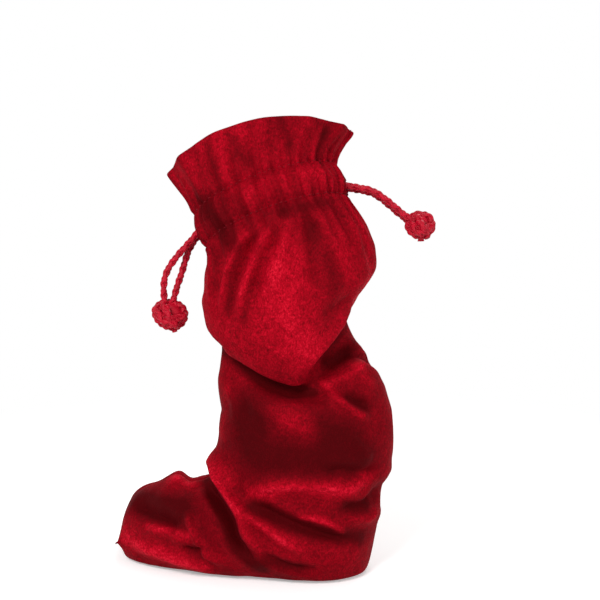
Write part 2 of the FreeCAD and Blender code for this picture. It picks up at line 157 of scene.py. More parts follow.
def make_floor():
    """A pale floor, which takes the object's shadow and turns white further out."""
    mesh = bpy.data.meshes.new("floor")
    corners = [(-1, -1), (1, -1), (1, 1), (-1, 1)]
    mesh.from_pydata([(x * FLOOR_REACH, y * FLOOR_REACH, 0) for x, y in corners], [], [(0, 1, 2, 3)])
    floor = into_scene("floor", mesh)
    floor.location.z = -FLOOR_DROP
    material = bpy.data.materials.new("floor")
    material.use_nodes = True
    tree = material.node_tree
    nodes, links = tree.nodes, tree.links
    shader = nodes["Principled BSDF"]
    put(shader, {"Base Color": FLOOR_COLOUR, "Roughness": 0.9, "Specular IOR Level": 0.1})
    seen = white_ways(tree)

    glow, white = nodes.new("ShaderNodeEmission"), nodes.new("ShaderNodeEmission")
    links.new(maths(tree, "MULTIPLY", seen, FLOOR_GLOW), glow.inputs["Strength"])
    both = nodes.new("ShaderNodeAddShader")
    links.new(shader.outputs["BSDF"], both.inputs[0])
    links.new(glow.outputs["Emission"], both.inputs[1])

    place = nodes.new("ShaderNodeTexCoord")
    far = nodes.new("ShaderNodeVectorMath")
    far.operation = "LENGTH"
    links.new(place.outputs["Object"], far.inputs[0])
    fade = nodes.new("ShaderNodeMapRange")
    fade.interpolation_type = "SMOOTHSTEP"
    put(fade, {"From Min": FLOOR_WHITE_FROM, "From Max": FLOOR_WHITE_TO})
    links.new(far.outputs["Value"], fade.inputs["Value"])
    share = maths(tree, "MULTIPLY", seen, fade.outputs["Result"])
    surface = mixed(tree, share, both.outputs["Shader"], white.outputs["Emission"])
    links.new(surface, nodes["Material Output"].inputs["Surface"])
    mesh.materials.append(material)


def make_stage():
    """The floor, a white surround and three soft lamps."""
    make_floor()
    world = bpy.data.worlds.new("world")
    bpy.context.scene.world = world
    world.use_nodes = True
    tree = world.node_tree
    tree.nodes.clear()
    out = tree.nodes.new("ShaderNodeOutputWorld")
    seen, lit = tree.nodes.new("ShaderNodeBackground"), tree.nodes.new("ShaderNodeBackground")
    put(seen, {"Color": (1, 1, 1, 1), "Strength": 1.0})
    put(lit, {"Color": (1, 0.98, 0.96, 1), "Strength": WORLD_LIGHT})
    surround = mixed(tree, white_ways(tree), lit.outputs["Background"], seen.outputs["Background"])
    tree.links.new(surround, out.inputs["Surface"])
    for lamp in LAMPS:
        make_lamp(*lamp)
    bpy.context.scene.view_settings.view_transform = "Standard"


# ---------------- the sections of the filled sack

CLOTH = 1.2  # its thickness
LAYER_GAP = 0.3
ALLOWANCE = 7.0  # how far a seam allowance reaches, each way
CASING_WIDE, CASING_DEEP = 49.0, 36.5  # half sizes
ROW_RISE, ROW_PINCH = 11.0, 2.0  # how far a row of stitches is from the casing's middle, and narrower
RIM_RISE = 38.0


def turned_about(axis, angle):
    """The turn about an axis, in degrees."""
    x, y, z = unit(np.array(axis, float))
    cross = np.array([[0, -z, y], [z, 0, -x], [-y, x, 0]])
    angle = math.radians(angle)
    return np.eye(3) + math.sin(angle) * cross + (1 - math.cos(angle)) * cross @ cross


def turn(lean, nod):
    """A turn that lifts the right side by lean and the front by nod, in degrees."""
    return turned_about((0, 1, 0), -lean) @ turned_about((1, 0, 0), -nod)


CASING_TURN = turn(20.0, 22.0)
CASING_AT = np.array([-17.9, 0.0, 234.0])


def neck(rise, wide, deep, own_turn=None, aside=(0, 0, 0)):
    """A section on the casing's axis, or a little aside from it."""
    held = CASING_TURN if own_turn is None else CASING_TURN @ own_turn
    return wide, deep, CASING_AT + CASING_TURN @ np.array([0, 0, rise]) + np.array(aside), held


def level(height, shift, wide, deep, lean=0.0, nod=0.0, back=0.0):
    """A section of the standing part or the tail."""
    return wide, deep, np.array([shift, back, height]), turn(lean, nod)


RIM_TURN = turn(-7.0, 4.0)
SECTIONS = {
    "closed_end": level(12, -121.0, 1.15, 23.5, lean=-90, back=32),
    "end": level(14, -116.5, 18.5, 26.0, lean=-90, back=31),
    "toe": level(22, -92, 31, 34, lean=-90, back=19),
    "instep": level(24, -50, 38, 36.5, lean=-58, back=4),
    "heel": level(27, -10, 60, 41, lean=-33),
    "ankle": level(54, -1, 54.5, 41, lean=-12),
    "belly": level(80, 3.5, 56.5, 42),
    "flank": level(116, 1.5, 53.5, 40),
    "crease": level(152, -11, 41.5, 33, 7, -24),
    "fold": level(159, -12.5, 46.5, 41, 7, -18),
    "lip": level(167, -12, 48.5, 43, 7, -11),
    "pouch": level(187, -6, 54, 44, 8, 0),
    "shoulder": level(204, -7.5, 53, 41, 14, 9),
    "lower_row": neck(-ROW_RISE, CASING_WIDE - ROW_PINCH, CASING_DEEP - ROW_PINCH),
    "casing": neck(0, CASING_WIDE, CASING_DEEP),
    "upper_row": neck(ROW_RISE, CASING_WIDE - ROW_PINCH, CASING_DEEP - ROW_PINCH),
    "rim": neck(RIM_RISE, 59.0, 45.5, RIM_TURN, (4.6, 0, -0.8)),
}
# How much higher the cloth hangs round the crease than an even ring would: angles from the right
# seam, round by the back, and lifts. The other sections follow by their share.
LIFTS = [
    (0, 10), (30, 5), (90, 0), (150, 2), (180, 7), (207, 7), (235, 2), (262, -6), (283, -14),
    (297, -7), (313, 5), (330, 12), (348, 13),
]
LIFT_SHARES = {"flank": 0.25, "crease": 1.0, "fold": 0.95, "lip": 0.65, "pouch": 0.2}
LIFT_EASE = 13  # columns over which the lifts are evened
POINTED = {"rim": 1.45, "upper_row": 1.08}  # how much these narrow to a point at the side seams
NAMES = list(SECTIONS)
AROUND = 256  # points round the ring, 0 at the right seam, then by the back
STEP = 1.35  # between points along the cloth
ANGLES = np.arange(AROUND) * 2 * math.pi / AROUND


def lifts():
    """The lift of each column at the crease."""
    places, heights = zip(*LIFTS)
    found = np.interp(np.degrees(ANGLES), places, heights, period=360)
    reach = np.arange(-LIFT_EASE, LIFT_EASE + 1)
    weights = bell(reach / (LIFT_EASE / 2))
    return sum(np.roll(found, shift) * weight for shift, weight in zip(reach, weights)) / weights.sum()


def ring(name):
    """The points of the cloth round one section."""
    wide, deep, at, held = SECTIONS[name]
    across = np.sin(ANGLES)
    across = np.sign(across) * np.abs(across) ** POINTED.get(name, 1.0)
    flat = np.stack([wide * np.cos(ANGLES), deep * across, 0 * ANGLES], axis=1)
    points = at + flat @ held.T
    points[:, 2] += LIFT_SHARES.get(name, 0.0) * lifts()
    return points


def through(rings, knots, wanted):
    """A smooth run through the rings, which stand at the knots, read at the wanted places."""
    rings = np.array(rings)
    gaps = np.diff(knots)
    slopes = np.diff(rings, axis=0) / gaps[:, None, None]
    tangents = np.empty_like(rings)
    tangents[0], tangents[-1] = slopes[0], slopes[-1]
    weight = (gaps[1:] / (gaps[:-1] + gaps[1:]))[:, None, None]
    tangents[1:-1] = slopes[:-1] * weight + slopes[1:] * (1 - weight)
    spans = np.clip(np.searchsorted(knots, wanted, side="right") - 1, 0, len(gaps) - 1)
    s = ((wanted - knots[spans]) / gaps[spans])[:, None, None]
    g = gaps[spans][:, None, None]
    a, b = rings[spans], rings[spans + 1]
    return (
        (2 * s**3 - 3 * s**2 + 1) * a
        + (s**3 - 2 * s**2 + s) * g * tangents[spans]
        + (3 * s**2 - 2 * s**3) * b
        + (s**3 - s**2) * g * tangents[spans + 1]
    )


RINGS = [ring(name) for name in NAMES]
BETWEEN = [np.linalg.norm(b - a, axis=1).mean() for a, b in zip(RINGS, RINGS[1:])]
RINGS_AT = np.concatenate([[0], np.cumsum(BETWEEN)])
AT = dict(zip(NAMES, RINGS_AT))  # how far up the cloth each section lies
LENGTHS = np.linspace(0, RINGS_AT[-1], int(RINGS_AT[-1] / STEP))
BASE = through(RINGS, RINGS_AT, LENGTHS)  # [along, around, xyz]


def normals_of(grid):
    """Unit normals of a ring-shaped grid, pointing out."""
    along = np.gradient(grid, axis=0)
    around = np.roll(grid, -1, axis=1) - np.roll(grid, 1, axis=1)
    return unit(np.cross(around, along))


OUT = normals_of(BASE)
IN_CASING = (BASE - CASING_AT) @ CASING_TURN  # the ring's points in the casing's own frame


def ripple(count, seed, warp):
    """Uneven waves round the ring, about count of them, from -1 to 1, that wander along the cloth."""
    rng = np.random.default_rng(seed)
    knots = rng.uniform(-1, 1, count * 2)
    knots[::2] = np.abs(knots[::2]) * 0.7 + 0.3
    knots[1::2] = -np.abs(knots[1::2]) * 0.7 - 0.3
    drift = warp * np.sin(LENGTHS / 23.0 + seed)[:, None]
    place = (ANGLES[None, :] / (2 * math.pi) * len(knots) + drift) % len(knots)
    low = np.floor(place).astype(int)
    share = smooth(0, 1, place - low)
    return knots[low % len(knots)] * (1 - share) + knots[(low + 1) % len(knots)] * share


LATTICE = 64  # points of the noise's lattice each way, after which it repeats


def cloud(scale, seed, detail=3):
    """Soft noise over the ring, about -1 to 1, with blobs of that scale in millimetres."""
    total = 0.0
    rng = np.random.default_rng(seed)
    for octave in range(detail):
        lattice = rng.uniform(-1, 1, (LATTICE,) * 3)
        place = BASE / (scale / 2**octave) + rng.uniform(0, 40, 3)
        low = np.floor(place).astype(int)
        share = smooth(0, 1, place - low)
        value = 0.0
        for corner in range(8):
            bits = [(corner >> k) & 1 for k in range(3)]
            weight = 1.0
            for k, bit in enumerate(bits):
                weight = weight * (share[..., k] if bit else 1 - share[..., k])
            index = [(low[..., k] + bits[k]) % LATTICE for k in range(3)]
            value += weight * lattice[index[0], index[1], index[2]]
        total += value / 2**octave
    return total


# ---------------- folds

# Folds, by the side they are seen from. Each is a line over the cloth: how far it stands out (less
# than 0 for a crease), its half width, and its points as the two coordinates seen from there.
FOLDS = {
    "front": [
        # the pouch: folds fan out from the gathers, down and to the left
        (2.8, 2.6, (-30, 224), (-40, 206), (-47, 188), (-48, 170)),
        (-2.2, 2.4, (-24, 226), (-32, 208), (-40, 188), (-43, 166)),
        (3.0, 2.8, (-16, 230), (-24, 212), (-33, 190), (-38, 162)),
        (-2.0, 2.6, (-12, 230), (-16, 214), (-25, 196), (-30, 172)),
        (2.4, 3.4, (-6, 234), (-8, 218), (-14, 200), (-18, 180)),
        (-3.0, 4.2, (2, 236), (6, 218), (8, 200), (12, 184)),
        (2.6, 3.6, (10, 240), (16, 224), (26, 206), (30, 190)),
        (-2.4, 3.4, (20, 240), (28, 224), (36, 208)),
        (2.0, 9.0, (-10, 186), (-4, 168), (2, 150), (5, 140)),
        (-2.6, 6.0, (12, 172), (24, 176), (34, 184)),
        # the waist, where the slack hangs over the standing part
        (3.4, 3.0, (6, 131), (20, 128), (34, 133), (42, 138)),
        (-3.4, 4.6, (12, 138), (24, 141), (34, 148)),
        (3.0, 2.8, (12, 128), (24, 118), (36, 110), (46, 104)),
        (-3.4, 3.6, (26, 124), (36, 118), (44, 114)),
        # the standing part
        (-1.6, 4.0, (-44, 130), (-36, 118), (-34, 100)),
        (1.8, 6.0, (-34, 114), (-16, 112), (4, 102), (16, 98)),
        (2.4, 3.6, (28, 102), (38, 88), (46, 80)),
        (-3.2, 3.4, (50, 74), (40, 72), (26, 76), (10, 74)),
        # towards the foot: a bright roll, and the long crease under it
        (3.2, 4.4, (-32, 62), (-14, 67), (8, 68), (30, 62), (42, 64)),
        (-5.0, 3.6, (-30, 54), (-16, 48), (0, 41), (20, 33), (38, 27)),
        (2.6, 2.9, (-4, 49), (10, 46), (22, 38), (30, 31)),
        (3.2, 3.2, (-46, 56), (-32, 47), (-20, 39), (-6, 29), (8, 20)),
        (-3.8, 3.2, (48, 55), (38, 50), (26, 51)),
        (2.4, 3.2, (50, 44), (40, 40), (28, 44)),
        (-2.6, 3.2, (-26, 24), (-6, 14), (16, 10)),
        # where the tail leaves the standing part, which bulges over it
        (-6.5, 3.4, (-62, 62), (-52, 53), (-43, 42), (-38, 28), (-24, 13)),
        (4.2, 3.6, (-54, 70), (-47, 60), (-38, 49), (-33, 36), (-20, 22)),
        (-5.0, 5.5, (-110, 38), (-96, 38), (-84, 36), (-76, 30)),
        (2.6, 3.2, (-98, 28), (-88, 31), (-76, 27), (-66, 30)),
        (4.0, 3.0, (-72, 46), (-66, 32), (-58, 20), (-46, 12)),
        (-3.4, 2.6, (-74, 22), (-66, 20), (-58, 26)),
        (2.2, 4.4, (-112, 16), (-94, 14), (-76, 10), (-54, 6)),
    ],
    "top": [
        (3.4, 6.0, (-78, -6), (-79, 12), (-81, 30), (-88, 46)),
        (2.0, 6.0, (-66, -10), (-64, 12), (-62, 30)),
    ],
    "back": [
        # the back and the sides, by the same habits
        (3.0, 3.2, (-36, 208), (-40, 190), (-36, 172)),
        (-2.4, 3.0, (-26, 208), (-28, 192), (-26, 174)),
        (2.8, 3.6, (-14, 212), (-12, 194), (-18, 176)),
        (-2.8, 3.6, (2, 214), (6, 196), (4, 178)),
        (2.8, 3.6, (16, 220), (24, 204), (24, 186)),
        (-3.4, 3.4, (34, 130), (18, 118), (-2, 112)),
        (2.2, 4.6, (-40, 120), (-22, 110), (-6, 96)),
        (-3.0, 3.8, (40, 92), (22, 80), (0, 76), (-20, 78)),
        (2.6, 5.0, (44, 60), (24, 52), (2, 50), (-18, 54)),
        (-4.0, 3.6, (34, 34), (14, 26), (-8, 24), (-26, 30)),
        (3.2, 3.8, (-34, 46), (-46, 36), (-58, 30)),
    ],
    "right": [
        (0.8, 5.0, (-20, 196), (-8, 182), (4, 168)),
        (-3.0, 3.6, (-24, 150), (-8, 140), (10, 130)),
        (-6.5, 7.0, (-28, 54), (-4, 52), (20, 55)),
    ],
    "left": [
        (0.9, 5.0, (-20, 190), (-4, 178), (12, 170)),
        (-2.2, 8.0, (-24, 114), (-6, 106), (14, 102)),
        (6.5, 7.5, (-30, 60), (-10, 70), (14, 68)),
    ],
}
# Edges of slack cloth: a side, and then as above. Each rises on the right-hand side of its line
# and dips on the left.
SLACK_EDGES = [
    ("front", 3.8, 2.8, (34, 170), (20, 156), (10, 145), (4, 134)),
    ("front", 4.6, 3.4, (8, 126), (-8, 129), (-26, 136), (-42, 144), (-52, 150)),
    ("back", 3.2, 3.8, (-40, 152), (-20, 150), (0, 148), (24, 142)),
]
# Painted shade (less than 0) and painted highlights in the velvet's colour: shade down the creases,
# under the slump and over the middle of the standing part, where it faces the camera, highlights
# along the ridges and rolls, and a little of the pile's own direction. Each has a half width, how
# much, and the points of a line seen from the front.
PAINTED_LIGHT_AND_PILE_LINES = [
    # the pouch and the header
    (13, 0.1, (-14, 196), (-8, 172), (0, 152)),
    (8, -0.24, (8, 222), (16, 206), (20, 190)),
    (4, -0.2, (-50, 206), (-53, 186)),
    (2.6, -0.26, (-34, 214), (-42, 192), (-45, 172)),
    (2.4, -0.22, (-22, 212), (-30, 190), (-34, 168)),
    (4, 0.2, (42, 204), (42, 184), (34, 170)),
    (6, -0.32, (-62, 240), (-50, 226), (-42, 214)),
    (4, -0.22, (-56, 266), (-50, 246)),
    (4, -0.24, (-38, 276), (-32, 262)),
    (3, -0.24, (-10, 288), (-6, 272)),
    (3, -0.34, (16, 280), (12, 262)),
    (7, 0.2, (-32, 244), (-12, 252), (8, 256)),
    (4, -0.26, (-12, 234), (4, 236), (16, 238)),
    # under the slump: its painted shadow, and painted shade and highlights on the folds beside it
    (3.2, -0.5, (-50, 145), (-28, 133), (-8, 125), (8, 122)),
    (3.0, -0.34, (12, 143), (20, 151), (32, 163)),
    (5, -0.3, (16, 141), (26, 144), (34, 150)),
    (4, 0.2, (36, 134), (44, 126)),
    (4, -0.3, (30, 118), (42, 112)),
    (2.0, 0.2, (14, 127), (26, 118), (38, 108)),
    # the standing part: a broad field of painted shade where it faces the camera, with a lighter
    # cloud of painted highlight in it
    (16, -0.42, (-30, 108), (-28, 88), (-4, 84), (24, 86)),
    (9, -0.24, (14, 106), (32, 92), (40, 82)),
    (7, 0.1, (-14, 112), (2, 104)),
    (4, 0.14, (-46, 120), (-50, 90)),
    # the foot: painted highlights on the roll and the ridges, painted shade down the creases
    (5, 0.3, (-30, 60), (-4, 67), (28, 62), (42, 68)),
    (5.5, -0.45, (-28, 52), (-2, 42), (20, 34), (38, 28)),
    (2.2, 0.3, (0, 47), (14, 44), (26, 34)),
    (3.4, 0.18, (-44, 54), (-24, 42), (-8, 31)),
    (4, -0.36, (28, 52), (42, 48)),
    (4, -0.3, (-22, 18), (0, 12)),
    # the tail: painted shade down its creases, and painted highlights on its ridges
    (4.2, -0.6, (-61, 66), (-52, 52), (-44, 38), (-38, 24), (-24, 11)),
    (8.5, -0.6, (-112, 39), (-94, 43), (-76, 44)),
    (3.5, 0.3, (-84, 58), (-70, 57)),
    (2.2, 0.3, (-98, 30), (-84, 31), (-70, 30)),
    (6.5, 0.34, (-114, 18), (-90, 13), (-62, 8)),
]
SEEN_FROM = {
    "front": (0, -1, 0), "back": (0, 1, 0), "left": (-1, 0, 0), "right": (1, 0, 0), "top": (0, 0, 1),
}
FACING_LEAST = 0.15  # a part of the cloth that faces a side less than this isn't seen from there
FAR = 1e3  # farther than any part of the cloth


def on_cloth(side, spot):
    """The point of the ring that shows at a spot when it is seen from one side."""
    toward = SEEN_FROM[side]
    facing = OUT @ np.array(toward, float)
    flat = BASE[..., [axis for axis in range(3) if not toward[axis]]]
    away = np.linalg.norm(flat - np.array(spot, float), axis=2) + FAR * (facing < FACING_LEAST)
    return BASE[np.unravel_index(np.argmin(away), away.shape)]


def eased(points, count):
    """A smooth line of count points through the given ones."""
    points = np.array(points, float)
    ends = np.vstack([2 * points[0] - points[1], points, 2 * points[-1] - points[-2]])
    line = []
    for place in np.linspace(0, len(points) - 1, count):
        k = min(int(place), len(points) - 2)
        t = place - k
        a, b, c, d = ends[k : k + 4]
        square, cube = 2 * a - 5 * b + 4 * c - d, 3 * b - a - 3 * c + d
        line.append(0.5 * (2 * b + (c - a) * t + square * t**2 + cube * t**3))
    return np.array(line)


def beside_line(side, spots):
    """How far each point of the ring lies from a line, how far along it, and how far to its right."""
    line = eased([on_cloth(side, spot) for spot in spots], 7 * len(spots))
    away, place, offset = np.inf, 0.0, 0.0
    view = np.array(SEEN_FROM[side], float)
    for count, (a, b) in enumerate(zip(line, line[1:])):
        run = b - a
        if run @ run < 1e-9:
            continue
        t = np.clip(((BASE - a) @ run) / (run @ run), 0, 1)
        foot = a + t[..., None] * run
        gap = np.linalg.norm(BASE - foot, axis=2)
        nearer = gap < away
        away = np.where(nearer, gap, away)
        place = np.where(nearer, (count + t) / (len(line) - 1), place)
        offset = np.where(nearer, (BASE - foot) @ unit(np.cross(run, view)), offset)
    return away, place, offset


FULL_FROM, FULL_TO = 0.2, 0.75  # the stretch of a fold's line where it has its full height


def tapered(place):
    """A fold's share of its full height along its line, which fades out at both ends."""
    return smooth(0, FULL_FROM, place) * smooth(1.0, FULL_TO, place)


def fold(side, height, half_wide, *spots):
    """How far one fold moves the cloth out, over the whole ring: a ridge, or a sharper crease."""
    away, place, _ = beside_line(side, spots)
    reach = away / half_wide
    if height > 0:
        profile = bell(reach) - 0.12 * bell(reach - 2.2)
    else:
        profile = 1.15 * np.exp(-(reach**1.15)) - 0.3 * bell(reach - 1.9)
    return height * tapered(place) * profile


def slack_edge(side, height, half_wide, *spots):
    """How far one edge of slack moves the cloth out and in, over the whole ring."""
    away, place, offset = beside_line(side, spots)
    fade = np.exp(-0.5 * (away / half_wide / 1.6) ** 2)
    return height * tapered(place) * np.tanh(2.2 * offset / half_wide) * fade


def painted_light_and_pile():
    """Painted shade and highlights, with a little of the pile's own direction, by the lines in the
    list.
    """
    # Each line paints shade or highlight into the velvet's colour.
    return sum(
        change * bell(beside_line("front", spots)[0] / half_wide)
        for half_wide, change, *spots in PAINTED_LIGHT_AND_PILE_LINES
    )


# How deep a row of stitches and a side seam draw the cloth in, and over what half width.
ROW_PULL, ROW_PULL_WIDE = 1.9, 1.5
SEAM_PULL, SEAM_PULL_WIDE = 1.1, 2.2


# The heights of the pleats: fine ones at a row of stitches, fine and uneven ones in the casing, and
# the middling and wide ones that they open out into, below the rows and above.
FINE, FINE_INSIDE, UNEVEN_INSIDE = 1.7, 1.5, 0.8
MIDDLING_BELOW, MIDDLING_ABOVE = 2.4, 2.0
WIDE_BELOW, WIDE_ABOVE = 1.6, 2.4
FINE_REACH_BELOW, FINE_REACH_ABOVE = 10, 9  # the middling ones reach twice as far
WIDE_AT, WIDE_SPREAD = 26, 500  # where the wide ones below are highest, and the square they fade by


def gathers():
    """The fine pleats at the stitch rows, which open out away from them."""
    below = np.maximum(AT["lower_row"] - LENGTHS, 0)[:, None]
    above = np.maximum(LENGTHS - AT["upper_row"], 0)[:, None]
    inside = (LENGTHS[:, None] >= AT["lower_row"]) & (LENGTHS[:, None] <= AT["upper_row"])
    fine, middling, wide = ripple(46, 11, 0.5), ripple(25, 12, 0.6), ripple(12, 13, 0.5)

    def opening_out(away, reach, height, full):
        behind = middling * height * np.exp(-away / (2 * reach)) * smooth(0, full, away)
        return fine * FINE * np.exp(-away / reach) + behind

    low = opening_out(below, FINE_REACH_BELOW, MIDDLING_BELOW, 8)
    low = low + wide * WIDE_BELOW * np.exp(-((below - WIDE_AT) ** 2) / WIDE_SPREAD)
    high = opening_out(above, FINE_REACH_ABOVE, MIDDLING_ABOVE, 6)
    high = high + wide * WIDE_ABOVE * smooth(6, 30, above)
    channel = fine * FINE_INSIDE + ripple(31, 14, 1.2) * UNEVEN_INSIDE
    total = np.where(inside, channel, np.where(below > 0, low, high))
    rows = sum(bell((LENGTHS - AT[row]) / ROW_PULL_WIDE) for row in ("lower_row", "upper_row"))
    return total - ROW_PULL * rows[:, None]


def seam_groove():
    """The two side seams draw the cloth in a little."""
    from_seam = np.minimum.reduce([ANGLES, np.abs(ANGLES - math.pi), 2 * math.pi - ANGLES])
    radius = np.linalg.norm(BASE - BASE.mean(axis=1, keepdims=True), axis=2)
    return -SEAM_PULL * bell(from_seam * radius / SEAM_PULL_WIDE)


FOLDED = sum(fold(side, *each) for side in FOLDS for each in FOLDS[side])
FOLDED = FOLDED + sum(slack_edge(*each) for each in SLACK_EDGES)
SLACK = 1.1 * cloud(34, 3) + 0.45 * cloud(13, 4, 2)
IN_NECK = smooth(AT["shoulder"] - 12, AT["lower_row"], LENGTHS)[:, None]
MOVED = FOLDED + SLACK * (1 - 0.75 * IN_NECK) + gathers() + seam_groove()


def settled(grid):
    """The cloth keeps off the table, and flattens on it."""
    low, ease = 0.4, 3.0
    z = grid[..., 2]
    eased_down = low + ease * np.exp(np.minimum((z - low - ease) / ease, 0))
    grid[..., 2] = np.where(z < low + ease, eased_down, z)
    return grid


OUTSIDE = settled(BASE + OUT * MOVED[..., None])

# ---------------- cloth pieces


def quads_of(rows, columns, round_it=False, round_along=False):
    """The quads of a grid of points, closed in a ring if wanted."""
    index = np.arange(rows * columns).reshape(rows, columns)
    if round_it:
        index = np.hstack([index, index[:, :1]])
    if round_along:
        index = np.vstack([index, index[:1]])
    corners = [index[:-1, :-1], index[:-1, 1:], index[1:, 1:], index[1:, :-1]]
    return np.stack(corners, axis=-1).reshape(-1, 4).tolist()


def tube_faces(rows, sides, closed=False):
    """The faces of a tube: its quads, and two caps where it isn't closed in a loop."""
    faces = quads_of(rows, sides, True, closed)
    if closed:
        return faces
    last = (rows - 1) * sides
    return faces + [list(range(sides))[::-1], list(range(last, last + sides))]


def grid_mesh(name, grid, values=None):
    """A mesh of quads over a grid of points; values, if any, become its attribute of the pile and the
    painted shade and highlights.
    """
    mesh = bpy.data.meshes.new(name)
    mesh.from_pydata((grid.reshape(-1, 3) * MM).tolist(), [], quads_of(*grid.shape[:2]))
    if values is not None:
        attribute = mesh.attributes.new("pile_and_painted_light", "FLOAT", "POINT")
        attribute.data.foreach_set("value", values.reshape(-1).astype(np.float32))
    mesh.polygons.foreach_set("use_smooth", [True] * len(mesh.polygons))
    mesh.update()
    return mesh


def thickened(piece):
    """Gives a sheet the cloth's thickness, inwards, and applies it."""
    change = piece.modifiers.new("thickness", "SOLIDIFY")
    change.thickness = CLOTH * MM
    change.offset = -1.0
    change.material_offset = 1
    change.use_rim = True
    made = evaluated_mesh(piece)
    piece.modifiers.clear()
    piece.data = made


def between(line, places):
    """What a ring of points, or of values, says at fractional columns."""
    low = np.floor(places).astype(int)
    share = (places - low)[:, None]
    return line[low % AROUND] * (1 - share) + line[(low + 1) % AROUND] * share


def columns_in(length, radius):
    """How many columns a length takes up on a bend of that radius."""
    return length / radius * AROUND / (2 * math.pi)


SEAM_COLUMNS = {"front": (AROUND // 2, AROUND), "back": (0, AROUND // 2)}
GAP_HIGH, GAP_HALF = 8.6, 4.9
GAP_MIDDLE = {"left": 0.7, "right": -4.0}  # in the casing's frame, along the neck
GAP_EASE = 14  # columns over which the cloth makes room


def parted(grid, first, last):
    """The columns of one sheet, drawn apart at the seams where the cords leave."""
    columns = np.arange(first, last + 1, dtype=float)
    spread = []
    for row in range(grid.shape[0]):
        place = columns.copy()
        by_gap = row < len(LENGTHS) and abs(LENGTHS[row] - AT["casing"]) < 2 * GAP_HIGH
        for edge, way in ((first, 1), (last, -1)) if by_gap else ():
            name = "left" if edge % AROUND == AROUND // 2 else "right"
            height = (IN_CASING[row, edge % AROUND, 2] - GAP_MIDDLE[name]) / (GAP_HIGH / 2)
            if abs(height) < 1:
                opening = columns_in(GAP_HALF * math.sqrt(1 - height**2), CASING_DEEP)
                place += way * opening * np.maximum(1 - np.abs(columns - edge) / GAP_EASE, 0)
        spread.append(between(grid[row], place))
    return np.array(spread)


LAYERS = 2.9  # between the velvet of a panel and that of its facing
CHANNEL = 7.0  # how much further apart they are at the middle of the casing
ROLL_STEPS = 6


def facing_rows(grid):
    """The rows of the cloth from the rim down inside to the lower row of stitches."""
    out = normals_of(grid)
    up = unit(np.gradient(grid, axis=0))
    roll = LAYERS / 2
    rows = []
    for count in range(1, ROLL_STEPS + 1):
        angle = math.pi * count / ROLL_STEPS
        rows.append(grid[-1] - out[-1] * roll * (1 - math.cos(angle)) + up[-1] * roll * math.sin(angle))
    last = int(np.searchsorted(LENGTHS, AT["lower_row"] - 1.5))
    for row in range(len(LENGTHS) - 2, last, -1):
        from_casing = abs(LENGTHS[row] - AT["casing"])
        reach = AT["upper_row"] - AT["casing"]
        apart = LAYERS + CHANNEL * max(0.0, 1 - from_casing / reach)
        calm = BASE[row] + OUT[row] * (MOVED[row] * (1.0 if from_casing > reach else 0.4))[:, None]
        rows.append(calm - OUT[row] * apart)
    return np.array(rows)


# How bright the pile lies, and what its crush adds to that, which is the velvet's own mottle; then
# what each millimetre of a fold adds as painted highlight on a ridge and painted shade in a crease,
# what the pleats add as painted shade and highlight, and what three stretches of the cloth add as
# painted light and shade.
NAP_EVEN, NAP_CRUSHED, FOLD_PAINTED_SHADE, PLEAT_PAINTED_SHADE = 0.38, 0.1, 0.045, 0.1
# Painted light and shade by height: the cloth from the crease up is painted brighter, as lit from
# above, darker again from the shoulder to the lower row, as shade under the header, and brighter from
# the casing up.
PAINTED_LIGHT_STRETCHES = [
    (AT["crease"], AT["lip"], 0.14),
    (AT["shoulder"], AT["lower_row"], -0.16),
    (AT["casing"], AT["upper_row"] + 6, 0.1),
]
FACING_PAINTED_SHADE = 0.9  # the facing's share of that: painted shade inside the mouth


def pile_and_painted_light_of(grid_rows):
    """How bright the velvet is painted, from 0, dark, to 1, bright: the pile's crush, and painted shade
    and highlights on it.
    """
    # Folds and pleats add painted highlight on their ridges and painted shade in their creases.
    pile_and_painted_light = NAP_EVEN + NAP_CRUSHED * cloud(26, 21, 3) + FOLD_PAINTED_SHADE * FOLDED
    pile_and_painted_light = pile_and_painted_light + PLEAT_PAINTED_SHADE * ripple(26, 12, 0.6) * IN_NECK + painted_light_and_pile()
    for start, end, change in PAINTED_LIGHT_STRETCHES:
        pile_and_painted_light = pile_and_painted_light + change * smooth(start, end, LENGTHS)[:, None]
    pile_and_painted_light = np.clip(pile_and_painted_light, 0, 1)
    facing = pile_and_painted_light[::-1][: grid_rows - pile_and_painted_light.shape[0]] * FACING_PAINTED_SHADE
    return np.vstack([pile_and_painted_light, facing])


VELVET_RING = np.concatenate([OUTSIDE, facing_rows(OUTSIDE)])
# The pile's own mottle and the painted shade and highlights, point by point, for the velvet's colour.
PILE_AND_PAINTED_LIGHT = pile_and_painted_light_of(len(VELVET_RING))[..., None]
SACK = "sack"


def velvet_sheet(half, replaced):
    """One panel of velvet and its facing: a single cut of cloth."""
    first, last = SEAM_COLUMNS[half]
    points = parted(VELVET_RING, first, last)
    pile_and_painted_light = parted(PILE_AND_PAINTED_LIGHT, first, last)[..., 0]
    sheet = into_scene(f"{half}_velvet", grid_mesh(f"{half}_velvet", points, values=pile_and_painted_light))
    sheet.data.materials.append(made_of(velvet))
    sheet.data.materials.append(made_of(velvet_backing))
    thickened(sheet)
    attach(sheet, SACK)
    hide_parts(*replaced)


def seam_allowance(name, column, first_row, last_row, node):
    """Both allowances of a side seam, pressed open on the inside."""
    strip = []
    for row in range(first_row, last_row):
        radius = np.linalg.norm(BASE[row] - BASE[row].mean(axis=0), axis=1).mean()
        half = columns_in(ALLOWANCE, radius)
        places = column + np.linspace(-half, half, 9)
        strip.append(between(OUTSIDE[row], places) - between(OUT[row], places) * (CLOTH + LAYER_GAP))
    piece = into_scene(name, grid_mesh(name, np.array(strip)))
    piece.data.materials.append(made_of(velvet_backing))
    piece.data.materials.append(made_of(velvet_backing))
    thickened(piece)
    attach(piece, SACK)
    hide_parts(node)


# ---------------- thread and cord


